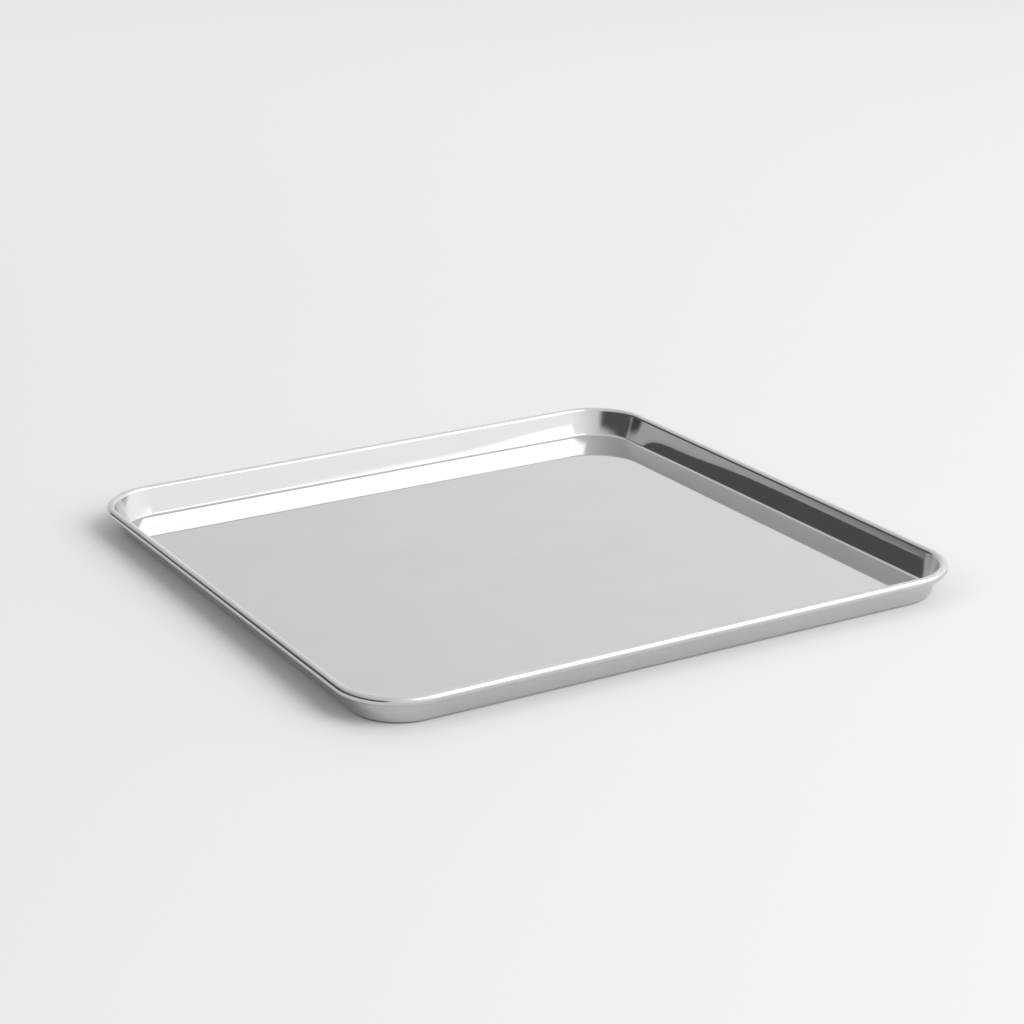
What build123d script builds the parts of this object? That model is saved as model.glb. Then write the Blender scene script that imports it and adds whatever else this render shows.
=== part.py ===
from build123d import *
import os

os.makedirs("parts", exist_ok=True)

# A square tray pressed from one steel sheet, with its rim rolled over a ring of wire.
# Origin: centre of the underside. +Z up, walls square to X and Y.

# --- driving dimensions, millimetres and degrees ---
tray_width = 300.0           # along X, over the rolled rim
tray_depth = 300.0           # along Y, over the rolled rim
tray_height = 14.0           # underside of the floor to the top of the rim
rim_corner_radius = 30.0     # outer edge of the rim, in plan
sheet_thickness = 0.6
wall_lean = 17.0             # each wall leans outwards from the vertical
floor_bend_radius = 1.5      # inside face, where the floor turns up into the wall
bead_diameter = 4.2          # outside of the rolled rim
curl_sweep = 300.0           # how far round the sheet is rolled, ending under the rim
wire_clearance = 0.05        # between the wire and the inside of the curl

# --- worked out from them ---
bead_radius = bead_diameter / 2
curl_inner_radius = bead_radius - sheet_thickness
wire_radius = curl_inner_radius - wire_clearance

# The section is drawn with its own X pointing outwards from the rim's outer edge, and its Y up.
bead_centre = Vector(-bead_radius, tray_height - bead_radius)
wall_normal = Vector(-1, 0).rotate(Axis.Z, -wall_lean)     # out of the wall's inner face
wall_up = Vector(0, 1).rotate(Axis.Z, -wall_lean)
curl_end = wall_normal.rotate(Axis.Z, -curl_sweep)         # from the bead's centre to the sheet's edge

# The inner face of the wall runs straight down from the bead to the floor's upper face.
inner_wall_top = bead_centre + wall_normal * bead_radius
outer_wall_top = bead_centre + wall_normal * curl_inner_radius
inner_wall_length = (inner_wall_top.Y - sheet_thickness) / wall_up.Y
outer_wall_length = outer_wall_top.Y / wall_up.Y
inner_corner = inner_wall_top - wall_up * inner_wall_length
outer_corner = outer_wall_top - wall_up * outer_wall_length
flat_floor_inset = floor_bend_radius * 2 - inner_corner.X  # the section starts here, inside the bend

section_plane = Plane(origin=(0, -tray_depth / 2, 0), x_dir=(0, -1, 0), z_dir=(-1, 0, 0))

# --- the rim's outer edge, which both sections follow ---
with BuildLine() as rim_outline:
    corners = Polyline(
        (0, -tray_depth / 2),
        (tray_width / 2, -tray_depth / 2),
        (tray_width / 2, tray_depth / 2),
        (-tray_width / 2, tray_depth / 2),
        (-tray_width / 2, -tray_depth / 2),
        close=True,
    )
    fillet(rim_outline.vertices().filter_by(lambda corner: abs(corner.X) > 1), rim_corner_radius)

# --- tray_pan: floor, walls and rolled rim, one sheet ---
with BuildPart() as tray_pan:
    with BuildSketch(section_plane) as sheet_section:
        with BuildLine():
            # floor, bend and the straight face of the wall, on each side of the sheet
            inner_face = FilletPolyline(
                (-flat_floor_inset, sheet_thickness), inner_corner, inner_wall_top,
                radius=floor_bend_radius,
            )
            outer_face = FilletPolyline(
                (-flat_floor_inset, 0), outer_corner, outer_wall_top,
                radius=floor_bend_radius + sheet_thickness,
            )
            # the rolled bead, outer and inner surface, joined by the sheet's cut edge
            curl_outer = CenterArc(bead_centre, bead_radius, 180 - wall_lean, -curl_sweep)
            curl_inner = CenterArc(bead_centre, curl_inner_radius, 180 - wall_lean, -curl_sweep)
            Line(curl_outer @ 1, curl_inner @ 1)
            Line(inner_face @ 0, outer_face @ 0)
        make_face()
    sweep(path=rim_outline.wires()[0])
    with BuildSketch(Plane.XY):
        RectangleRounded(
            tray_width - 2 * flat_floor_inset,
            tray_depth - 2 * flat_floor_inset,
            rim_corner_radius - flat_floor_inset,
        )
    extrude(amount=sheet_thickness)

# --- rim_wire: a closed ring inside the bead ---
with BuildPart() as rim_wire:
    with BuildSketch(section_plane):
        with Locations(bead_centre):
            Circle(wire_radius)
    sweep(path=rim_outline.wires()[0])

tray_pan.part.label = "tray_pan"
export_step(tray_pan.part, "parts/tray_pan.step")

rim_wire.part.label = "rim_wire"
export_step(rim_wire.part, "parts/rim_wire.step")
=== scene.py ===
"""Pill counting tray: the looks of the pressed steel pan and its rim wire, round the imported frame."""
import math

import bpy
import numpy as np
from mathutils import Matrix, Vector


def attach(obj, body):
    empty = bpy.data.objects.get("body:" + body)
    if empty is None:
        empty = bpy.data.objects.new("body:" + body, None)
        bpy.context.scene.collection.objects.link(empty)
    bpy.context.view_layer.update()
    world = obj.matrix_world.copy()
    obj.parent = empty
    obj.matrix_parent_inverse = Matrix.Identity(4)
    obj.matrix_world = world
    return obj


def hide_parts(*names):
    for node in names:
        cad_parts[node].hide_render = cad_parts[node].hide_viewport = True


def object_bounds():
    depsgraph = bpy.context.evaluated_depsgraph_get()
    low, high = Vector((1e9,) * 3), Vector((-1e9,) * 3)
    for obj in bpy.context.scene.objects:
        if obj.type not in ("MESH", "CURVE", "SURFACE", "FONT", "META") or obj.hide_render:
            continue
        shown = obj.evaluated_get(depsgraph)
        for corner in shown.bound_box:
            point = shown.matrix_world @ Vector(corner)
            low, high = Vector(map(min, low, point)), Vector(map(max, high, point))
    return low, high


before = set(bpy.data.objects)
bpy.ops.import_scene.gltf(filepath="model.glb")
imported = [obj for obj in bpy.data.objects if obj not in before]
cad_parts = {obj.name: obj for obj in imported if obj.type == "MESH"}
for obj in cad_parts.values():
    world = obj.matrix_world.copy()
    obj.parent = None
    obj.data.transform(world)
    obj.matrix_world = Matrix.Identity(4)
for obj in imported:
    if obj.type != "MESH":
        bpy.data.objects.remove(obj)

CAD_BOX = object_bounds()
MM = 0.001

# --- the pan's section, as the CAD part has it (millimetres and degrees) ---
SHEET = 0.6
WALL_LEAN = 17.0
FLOOR_BEND = 1.5
BEAD_RADIUS = 2.1
CURL_SWEEP = 300.0
RIM_CORNER = 30.0

# --- how the pressed sheet springs out of true (degrees) ---
FOOT_SPRING = 4.2
TOP_SPRING = -3.1
SETTLE_TURN = 40.0         # of the curl, over which the rim comes true again
# More lean of the wall's foot beside each corner, and the share of a side that it reaches over. The corners
# are the right, back, left and front one.
CORNER_FEET = [(-2.0, 0.25), (6.0, 0.17), (0.8, 0.10), (0.8, 0.10)]
RIM_WAVES = [(5, 0.10, 0.3), (9, 0.08, 1.7), (14, 0.05, 4.1)]   # waves round the rim, size, phase

# --- where the steel's finish changes (metres) ---
CORNER_DULL_FROM = (0.112, 0.128)   # from the middle along both sides: the drawn corners polish less
CREST_FROM = (0.0128, 0.0138)       # height of the bead's crest, which gets scuffed
OUTSIDE_FROM = (-0.05, 0.22)        # how far a face looks down: the outside is polished less than the inside
RIPPLE_DEPTH = 0.000009
WIRE_LINE_DEPTH = 0.00003

# --- noise, in cells to the metre along each axis, and its detail ---
SMUDGES = ((26, 26, 26), 4)
BUFFING_LINES = ((5, 5, 1100), 3)
SCUFFS = ((240, 240, 500), 5)
RIPPLES = ((85, 85, 85), 1)
DIE_LINES = ((30, 30, 2600), 3)
GREASE = ((70, 70, 70), 3)

# --- the sheet's polish: the roughness of clean steel and what each mark adds at its strongest ---
CLEAN_ROUGHNESS = 0.020
SMUDGE_ROUGHNESS = 0.022
LINE_ROUGHNESS = 0.020
CORNER_ROUGHNESS = 0.11
OUTSIDE_ROUGHNESS = 0.07
CREST_ROUGHNESS = 0.11
SCUFF_ROUGHNESS = 0.10
CLEAN_STEEL, WIPED_STEEL = (0.622, 0.616, 0.621), (0.606, 0.600, 0.606)
SCUFFED_STEEL = (0.66, 0.655, 0.655)
LINE_HEIGHT = 0.06                  # of the buffing lines, as a share of the ripple's

# --- the wire's finish ---
WIRE_ROUGHNESS = 0.20
DIE_LINE_ROUGHNESS = 0.16
GREASE_ROUGHNESS = 0.10
CLEAN_WIRE, GREASY_WIRE = (0.52, 0.52, 0.53), (0.40, 0.39, 0.38)

# --- the camera ---
CAMERA_AT = Vector((-532.6, -928.1, 397.9)) * MM
CAMERA_TILT = 70.43        # from looking straight down
CAMERA_TURN = -28.48       # about the vertical
CAMERA_ROLL = -1.0
FOCAL_OVER_WIDTH = 2.3994  # focal length as a multiple of the picture's width
CAMERA_SHIFT = (0.0558, 0.0108)


def arc(centre, radius, start, end, steps, stations):
    """Points, outward directions and stations round an arc, from start to end in degrees."""
    turn = np.radians(np.linspace(start, end, steps + 1))
    out = np.stack([np.cos(turn), np.sin(turn)], 1)
    return np.array(centre) + radius * out, out, np.linspace(*stations, steps + 1)


def hollow_arc(*how):
    """The same arc seen from its centre."""
    points, out, stations = arc(*how)
    return points, -out, stations


def straight(start, end, normal, steps, stations):
    """Points along a straight stretch, which all face the same way."""
    share = np.linspace(0, 1, steps + 1)[:, None]
    points = np.array(start) * (1 - share) + np.array(end) * share
    return points, np.repeat([normal], steps + 1, 0), np.linspace(*stations, steps + 1)


def joined(stretches):
    """One smooth strip from stretches that meet end to end."""
    return [np.concatenate([column[0]] + [more[1:] for more in column[1:]]) for column in zip(*stretches)]


def pan_section():
    """The sheet's section as smooth strips, the first from the floor up over the rim.

    X is outwards from the rim's outer edge and Y is up, in millimetres. Stations count along the sheet:
    0 where the floor ends, 1 at the foot of the wall, 2 at its top and 3 where the rim's curl is true.
    """
    height = (CAD_BOX[1].z - CAD_BOX[0].z) / MM
    lean = math.radians(WALL_LEAN)
    inwards = np.array([-math.cos(lean), math.sin(lean)])
    up_wall = np.array([math.sin(lean), math.cos(lean)])
    bead = np.array([-BEAD_RADIUS, height - BEAD_RADIUS])
    curl_radius = BEAD_RADIUS - SHEET
    inner_top = bead + inwards * BEAD_RADIUS
    outer_top = bead + inwards * curl_radius
    corner = inner_top - up_wall * (inner_top[1] - SHEET) / up_wall[1]
    tangent = FLOOR_BEND * math.tan(math.radians(90 - WALL_LEAN) / 2)
    bend = np.array([corner[0] - tangent, SHEET + FLOOR_BEND])
    edge = corner[0] - tangent - 2 * FLOOR_BEND
    wall_foot = bend - inwards * FLOOR_BEND
    outer_foot = bend - inwards * (FLOOR_BEND + SHEET)
    start, stop = 180 - WALL_LEAN, 180 - WALL_LEAN - CURL_SWEEP
    curl_end = 2 + CURL_SWEEP / SETTLE_TURN

    inside = joined([
        straight((edge, SHEET), (bend[0], SHEET), (0, 1), 4, (0, 0)),
        hollow_arc(bend, FLOOR_BEND, -90, -WALL_LEAN, 18, (0, 1)),
        straight(wall_foot, inner_top, inwards, 12, (1, 2)),
        arc(bead, BEAD_RADIUS, start, stop, 60, (2, curl_end)),
    ])
    stop_turn = math.radians(stop)
    edge_normal = (math.sin(stop_turn), -math.cos(stop_turn))
    curl_inside = bead + curl_radius / BEAD_RADIUS * (inside[0][-1] - bead)
    curl_edge = straight(inside[0][-1], curl_inside, edge_normal, 1, (curl_end, curl_end))
    outside = joined([
        hollow_arc(bead, curl_radius, stop, start, 48, (curl_end, 2)),
        straight(outer_top, outer_foot, -inwards, 12, (2, 1)),
        arc(bend, FLOOR_BEND + SHEET, -WALL_LEAN, -90, 18, (1, 0)),
        straight((bend[0], 0), (edge, 0), (0, -1), 4, (0, 0)),
    ])
    wall_length = np.linalg.norm(inner_top - wall_foot)
    return [inside, curl_edge, outside], wall_length


def rim_path(corner_steps, side_steps):
    """Where the section stands round the rim, in millimetres: corner centre, outward direction and run.

    The run counts 0 to 1 along each side and 1 to 2 round the corner after it, plus 2 for each side before.
    """
    half = (CAD_BOX[1].x - CAD_BOX[0].x) / 2 / MM - RIM_CORNER
    centres, turns, runs = [], [], []
    for side in range(4):
        turn = math.radians(90 * side - 90)
        along = np.array([-math.sin(turn), math.cos(turn)])
        out = np.array([math.cos(turn), math.sin(turn)])
        for step in range(side_steps):
            centres.append(half * out + along * half * (2 * step / side_steps - 1))
            turns.append(turn)
            runs.append(2 * side + step / side_steps)
        for step in range(corner_steps):
            centres.append(half * (out + along))
            turns.append(turn + math.pi / 2 * step / corner_steps)
            runs.append(2 * side + 1 + step / corner_steps)
    centres, turns = np.array(centres), np.array(turns)
    directions = np.stack([np.cos(turns), np.sin(turns)], 1)
    return centres, directions, np.array(runs)


def spring_back(runs):
    """How far the sheet leans from true at the foot and the top of its wall, in radians, round the rim.

    A pressed wall springs: it leans out more at its foot and stands up towards the rim. Its foot differs
    beside each corner, and slow waves run round the whole rim.
    """
    foot = np.full_like(runs, FOOT_SPRING)
    top = np.full_like(runs, TOP_SPRING)
    for corner, (stand, reach) in enumerate(CORNER_FEET):
        away = np.abs((runs - (2 * corner + 1.5) + 4) % 8 - 4) - 0.5
        foot += stand * np.exp(-(np.clip(away, 0, None) / reach) ** 2)
    for count, size, phase in RIM_WAVES:
        wave = size * np.sin(math.pi * count * runs / 4 + phase)
        foot += wave
        top += wave
    return np.radians(foot), np.radians(top)


def sheet_shapes(wall_length):
    """How the sheet moves for one radian of lean at its wall's foot, and for one at the top.

    Each is three tables over stations 0 to 3: the lean, how far the sheet moves out square to itself, and how
    far it slides out level. The curl and the floor stay true, and the bend slides to meet the wall's foot.
    """
    bend_length = FLOOR_BEND * math.radians(90 - WALL_LEAN)
    settle_length = BEAD_RADIUS * math.radians(SETTLE_TURN)
    stations = np.linspace(0, 3, 301)
    lengths = np.interp(stations, [0, 1, 2, 3], np.cumsum([0, bend_length, wall_length, settle_length]))
    sliding = np.interp(stations, [1, 2], [1, 0])
    tables = []
    for foot, top in ((1, 0), (0, 1)):
        lean = np.interp(stations, [0, 1, 2, 3], [0, foot, top, 0])
        rise = np.concatenate([[0], np.cumsum(np.diff(lengths) * (lean[1:] + lean[:-1]) / 2)])
        foot_slide = -rise[-1] * sliding
        tables.append((lean, rise - rise[-1] - foot_slide, foot_slide / math.cos(math.radians(WALL_LEAN))))
    return stations, tables


def swept(section, side, path, shapes):
    """One strip carried round the rim and sprung: positions in millimetres and normals.

    Both are (section, path, xyz). The side is 1 for a strip that faces into the pan and -1 for one that
    faces out of it.
    """
    points, normals, stations = section
    centres, directions, runs = path
    known, tables = shapes
    moves = [np.zeros((len(points), len(runs))) for _ in range(3)]
    for amount, table in zip(spring_back(runs), tables):
        for move, column in zip(moves, table):
            move += np.interp(stations, known, column)[:, None] * amount
    lean, offset, slide = (move[:, :, None] for move in moves)

    def placed(flat, up):
        across = flat[:, None, None] * directions[None]
        return np.concatenate([across, np.broadcast_to(up[:, None, None], (*across.shape[:2], 1))], 2)

    outwards = placed(np.ones(len(points)), np.zeros(len(points)))
    inner = side * placed(normals[:, 0], normals[:, 1])
    up_sheet = side * placed(normals[:, 1], -normals[:, 0])
    true = placed(RIM_CORNER + points[:, 0], points[:, 1])
    true[:, :, :2] += centres[None]
    moved = outwards * slide - inner * offset
    along = np.roll(true, -1, 1) - np.roll(true, 1, 1)
    spacing = np.linalg.norm(along, axis=2, keepdims=True)
    drift = ((np.roll(moved, -1, 1) - np.roll(moved, 1, 1)) * inner).sum(2, keepdims=True)
    turned = inner + lean * up_sheet - drift * along / spacing ** 2
    turned /= np.linalg.norm(turned, axis=2, keepdims=True)
    return true + moved, turned * side


def mesh_object(name, vertices, faces, face_normals):
    """A smooth mesh in metres whose corners carry their own normals."""
    mesh = bpy.data.meshes.new(name)
    mesh.from_pydata([tuple(v) for v in vertices * MM], [], faces)
    mesh.polygons.foreach_set("use_smooth", np.ones(len(faces), bool))
    mesh.normals_split_custom_set([tuple(n) for corners in face_normals for n in corners])
    mesh.update()
    made = bpy.data.objects.new(name, mesh)
    bpy.context.scene.collection.objects.link(made)
    return made


def build_pan():
    """The pressed sheet: its section's strips swept round the rim, closed by the floor's two faces."""
    path = rim_path(corner_steps=64, side_steps=60)
    around = len(path[0])
    sections, wall_length = pan_section()
    shapes = sheet_shapes(wall_length)
    strips = [swept(section, side, path, shapes) for section, side in zip(sections, (1, 1, -1))]
    vertices, faces, normals = [], [], []
    first = 0
    for number, (points, facing) in enumerate(strips):
        shared = 1 if number else 0      # a strip starts on the last row of the one before it
        row_start = first - shared * around
        vertices.append(points[shared:].reshape(-1, 3))
        for row in range(len(points) - 1):
            for column in range(around):
                following = (column + 1) % around
                at = [(row, column), (row + 1, column), (row + 1, following), (row, following)]
                faces.append([row_start + r * around + c for r, c in at])
                normals.append([facing[r, c] for r, c in at])
        first += (len(points) - shared) * around
    for rows, up in ((0, 1.0), (first // around - 1, -1.0)):
        ring = [rows * around + column for column in range(around)]
        faces.append(ring[::-1] if up < 0 else ring)
        normals.append([(0.0, 0.0, up)] * around)
    return mesh_object("pressed_pan", np.vstack(vertices), faces, normals)


def map_range(nodes, links, value, low, high):
    """A smooth 0 to 1 as the value goes from low to high."""
    node = nodes.new("ShaderNodeMapRange")
    node.interpolation_type = "SMOOTHSTEP"
    node.inputs["From Min"].default_value = low
    node.inputs["From Max"].default_value = high
    links.new(value, node.inputs["Value"])
    return node.outputs["Result"]


def math_node(nodes, links, operation, *values):
    """One Math node whose inputs are sockets or plain numbers."""
    node = nodes.new("ShaderNodeMath")
    node.operation = operation
    for socket, value in zip(node.inputs, values):
        if isinstance(value, (int, float)):
            socket.default_value = value
        else:
            links.new(value, socket)
    return node.outputs["Value"]


def mixed(nodes, links, share, first, second):
    """The colour that is first where share is 0 and second where it is 1."""
    node = nodes.new("ShaderNodeMix")
    node.data_type = "RGBA"
    links.new(share, node.inputs["Factor"])
    for socket, colour in ((node.inputs[6], first), (node.inputs[7], second)):
        if isinstance(colour, tuple):
            socket.default_value = (*colour, 1)
        else:
            links.new(colour, socket)
    return node.outputs[2]


def noise(nodes, links, place, stretch, detail):
    """Noise with so many cells to the metre along each axis."""
    mapping = nodes.new("ShaderNodeMapping")
    mapping.inputs["Scale"].default_value = stretch
    links.new(place, mapping.inputs["Vector"])
    node = nodes.new("ShaderNodeTexNoise")
    node.inputs["Scale"].default_value = 1.0
    node.inputs["Detail"].default_value = detail
    links.new(mapping.outputs["Vector"], node.inputs["Vector"])
    return node.outputs["Fac"]


def metal(name):
    """A bare metal material: its shader, nodes, links and the place on the object."""
    material = bpy.data.materials.new(name)
    material.use_nodes = True
    nodes, links = material.node_tree.nodes, material.node_tree.links
    shader = nodes["Principled BSDF"]
    shader.inputs["Metallic"].default_value = 1.0
    place = nodes.new("ShaderNodeTexCoord").outputs["Object"]
    return material, shader, nodes, links, place


def bumped(nodes, links, shader, height, depth):
    """Give the shader fine relief, so deep in metres."""
    bump = nodes.new("ShaderNodeBump")
    bump.inputs["Distance"].default_value = depth
    links.new(height, bump.inputs["Height"])
    links.new(bump.outputs["Normal"], shader.inputs["Normal"])


def layered(nodes, links, base, layers):
    """A base value plus each layer's mask times what that layer adds."""
    total = base
    for mask, added in layers:
        total = math_node(nodes, links, "MULTIPLY_ADD", mask, added, total)
    return total


def polished_steel():
    """Mirror-polished sheet: wiped marks, buffing lines, duller corners and outside, and a scuffed crest."""
    material, shader, nodes, links, place = metal("polished_steel")
    parts = nodes.new("ShaderNodeSeparateXYZ")
    links.new(place, parts.inputs["Vector"])
    smudge = noise(nodes, links, place, *SMUDGES)
    lines = noise(nodes, links, place, *BUFFING_LINES)
    scuff = noise(nodes, links, place, *SCUFFS)
    ripple = noise(nodes, links, place, *RIPPLES)

    beyond_x, beyond_y = (
        map_range(nodes, links, math_node(nodes, links, "ABSOLUTE", parts.outputs[axis]), *CORNER_DULL_FROM)
        for axis in "XY"
    )
    in_corner = math_node(nodes, links, "MULTIPLY", beyond_x, beyond_y)
    facing = nodes.new("ShaderNodeSeparateXYZ")
    links.new(nodes.new("ShaderNodeNewGeometry").outputs["Normal"], facing.inputs["Vector"])
    downwards = math_node(nodes, links, "MULTIPLY", facing.outputs["Z"], -1)
    outside = map_range(nodes, links, downwards, *OUTSIDE_FROM)
    crest = map_range(nodes, links, parts.outputs["Z"], *CREST_FROM)
    worn = math_node(nodes, links, "MULTIPLY", crest, map_range(nodes, links, scuff, 0.50, 0.68))

    roughness = layered(nodes, links, CLEAN_ROUGHNESS, [
        (map_range(nodes, links, smudge, 0.35, 0.75), SMUDGE_ROUGHNESS),
        (map_range(nodes, links, lines, 0.45, 0.75), LINE_ROUGHNESS),
        (in_corner, CORNER_ROUGHNESS),
        (outside, OUTSIDE_ROUGHNESS),
        (crest, CREST_ROUGHNESS),
        (worn, SCUFF_ROUGHNESS),
    ])
    links.new(roughness, shader.inputs["Roughness"])
    wiped = map_range(nodes, links, smudge, 0.3, 0.7)
    colour = mixed(nodes, links, wiped, CLEAN_STEEL, WIPED_STEEL)
    links.new(mixed(nodes, links, worn, colour, SCUFFED_STEEL), shader.inputs["Base Color"])
    height = math_node(nodes, links, "MULTIPLY_ADD", lines, LINE_HEIGHT, ripple)
    bumped(nodes, links, shader, height, RIPPLE_DEPTH)
    return material


def wire_steel():
    """Drawn wire: a satin grey with fine die lines along it."""
    material, shader, nodes, links, place = metal("wire_steel")
    lines = noise(nodes, links, place, *DIE_LINES)
    grease = noise(nodes, links, place, *GREASE)
    marks = [(lines, DIE_LINE_ROUGHNESS), (grease, GREASE_ROUGHNESS)]
    links.new(layered(nodes, links, WIRE_ROUGHNESS, marks), shader.inputs["Roughness"])
    colour = mixed(nodes, links, map_range(nodes, links, grease, 0.4, 0.7), CLEAN_WIRE, GREASY_WIRE)
    links.new(colour, shader.inputs["Base Color"])
    bumped(nodes, links, shader, lines, WIRE_LINE_DEPTH)
    return material


pan = build_pan()
pan.data.materials.append(polished_steel())
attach(pan, "root")
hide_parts("tray_pan")

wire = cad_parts["rim_wire"]
wire.data.materials.clear()
wire.data.materials.append(wire_steel())


# --- the studio ---
# Azimuth 0 is straight away from the camera and 90 is to its right, in degrees.
# The room is lighter on the window's side, to the right, than on the other.
LIGHT_SIDE = (1.40, 1.38, 1.36)
SHADE_SIDE = (0.50, 0.50, 0.52)
# What stands in it: azimuth and elevation of the middle, half the width and height, softness of the edges,
# all in degrees, and colour.
STUDIO_PATCHES = [
    ("dark_room", (-105, 0), (55, 30), (8, 5), (0.10, 0.10, 0.10)),
    ("softbox", (100, 40), (25, 20), (3, 3), (2.6, 2.6, 2.6)),
    ("window", (135, 50), (20, 10), (5, 5), (2.5, 2.5, 2.5)),
]
# The lamps, which only light the floor, because the metal mirrors the studio above: the azimuth and elevation
# they stand at, their distance, where they point (metres behind the tray), their size, power and colour.
LAMPS = [
    ("key_light", (130, 38), 2.1, 2.1, 1.3, 54, (1.0, 0.97, 0.95)),
    ("fill_light", (-120, 35), 3.5, 0.0, 2.0, 36, (0.95, 0.95, 1.0)),
]
# The floor's two colours carry a painted light falloff: darker in front of the tray and paler behind it.
FLOOR_NEAR, FLOOR_FAR = (0.45, 0.45, 0.46), (0.62, 0.62, 0.64)
FLOOR_PAINTED_LIGHT_FADE = (-0.5, 1.9)   # metres behind the tray, over which the floor's colour is painted paler: a painted light falloff
FLOOR_HALF_SIZE = 4.0      # metres
FLOOR_DROP = 0.0002        # metres, so that it doesn't meet the tray's underside
FLOOR_ROUGHNESS = 0.8


def studio_axes(nodes, links, vector):
    """A vector's parts to the right of the studio's front, away from it and up."""
    turned = nodes.new("ShaderNodeVectorRotate")
    turned.rotation_type = "Z_AXIS"
    turned.inputs["Angle"].default_value = -math.radians(CAMERA_TURN)
    links.new(vector, turned.inputs["Vector"])
    parts = nodes.new("ShaderNodeSeparateXYZ")
    links.new(turned.outputs["Vector"], parts.inputs["Vector"])
    return parts.outputs


def studio_world():
    """A plain soft studio: a lighter and a darker side, a softbox, a window and the unlit room beyond."""
    world = bpy.data.worlds.new("studio")
    world.use_nodes = True
    bpy.context.scene.world = world
    nodes, links = world.node_tree.nodes, world.node_tree.links
    direction = nodes.new("ShaderNodeTexCoord")
    right, away, up = studio_axes(nodes, links, direction.outputs["Generated"])
    azimuth = math_node(nodes, links, "DEGREES", math_node(nodes, links, "ARCTAN2", right, away))
    elevation = math_node(nodes, links, "DEGREES", math_node(nodes, links, "ARCSINE", up))
    light_share = math_node(nodes, links, "MULTIPLY_ADD", right, 0.5, 0.5)
    colour = mixed(nodes, links, light_share, SHADE_SIDE, LIGHT_SIDE)
    for _, middle, half, soft, patch_colour in STUDIO_PATCHES:
        turn = math_node(nodes, links, "SUBTRACT", azimuth, middle[0])
        sideways = math_node(nodes, links, "WRAP", turn, 180, -180)
        upwards = math_node(nodes, links, "SUBTRACT", elevation, middle[1])
        inside = None
        for offset, reach, edge in ((sideways, half[0], soft[0]), (upwards, half[1], soft[1])):
            distance = math_node(nodes, links, "ABSOLUTE", offset)
            within = map_range(nodes, links, distance, reach + edge, reach - edge)
            inside = within if inside is None else math_node(nodes, links, "MULTIPLY", inside, within)
        colour = mixed(nodes, links, inside, colour, patch_colour)
    links.new(colour, nodes["Background"].inputs["Color"])


def studio_floor():
    """Pale paper under the tray, its colour painted paler away from the front: a painted light falloff."""
    mesh = bpy.data.meshes.new("studio_floor")
    corners = [(x * FLOOR_HALF_SIZE, y * FLOOR_HALF_SIZE, 0) for x, y in ((-1, -1), (1, -1), (1, 1), (-1, 1))]
    mesh.from_pydata(corners, [], [(0, 1, 2, 3)])
    floor = bpy.data.objects.new("studio_floor", mesh)
    bpy.context.scene.collection.objects.link(floor)
    floor.location.z = -FLOOR_DROP
    material = bpy.data.materials.new("studio_floor")
    material.use_nodes = True
    shader = material.node_tree.nodes["Principled BSDF"]
    shader.inputs["Roughness"].default_value = FLOOR_ROUGHNESS
    nodes, links = material.node_tree.nodes, material.node_tree.links
    place = nodes.new("ShaderNodeTexCoord")
    _, away, _ = studio_axes(nodes, links, place.outputs["Object"])
    # Painted light falloff: the floor's colour goes from the near colour in front to the far colour behind
    # the tray.
    colour = mixed(nodes, links, map_range(nodes, links, away, *FLOOR_PAINTED_LIGHT_FADE), FLOOR_NEAR, FLOOR_FAR)
    links.new(colour, shader.inputs["Base Color"])
    floor.data.materials.append(material)


def lamp(name, bearing, distance, aim, size, power, colour):
    """A soft square panel that reflections don't show."""
    light = bpy.data.lights.new(name, "AREA")
    light.size = size
    light.energy = power
    light.color = colour
    panel = bpy.data.objects.new(name, light)
    bpy.context.scene.collection.objects.link(panel)
    azimuth, rise = (math.radians(angle) for angle in bearing)
    turn = Matrix.Rotation(math.radians(CAMERA_TURN), 3, "Z")
    level = math.cos(rise)
    towards = Vector((level * math.sin(azimuth), level * math.cos(azimuth), math.sin(rise)))
    panel.location = turn @ (distance * towards)
    look = turn @ Vector((0, aim, 0)) - panel.location
    panel.rotation_euler = look.to_track_quat("-Z", "Y").to_euler()
    panel.visible_glossy = False


def camera():
    """The camera, at the tray's front."""
    scene = bpy.context.scene
    data = bpy.data.cameras.new("camera")
    data.lens = FOCAL_OVER_WIDTH * data.sensor_width
    data.shift_x, data.shift_y = CAMERA_SHIFT
    made = bpy.data.objects.new("camera", data)
    scene.collection.objects.link(made)
    turn = Matrix.Rotation(math.radians(CAMERA_TURN), 4, "Z")
    tilt = Matrix.Rotation(math.radians(CAMERA_TILT), 4, "X")
    roll = Matrix.Rotation(math.radians(CAMERA_ROLL), 4, "Z")
    made.matrix_world = Matrix.Translation(CAMERA_AT) @ turn @ tilt @ roll
    scene.camera = made


studio_world()
studio_floor()
for made_lamp in LAMPS:
    lamp(*made_lamp)
camera()
bpy.context.scene.view_settings.view_transform = "Standard"
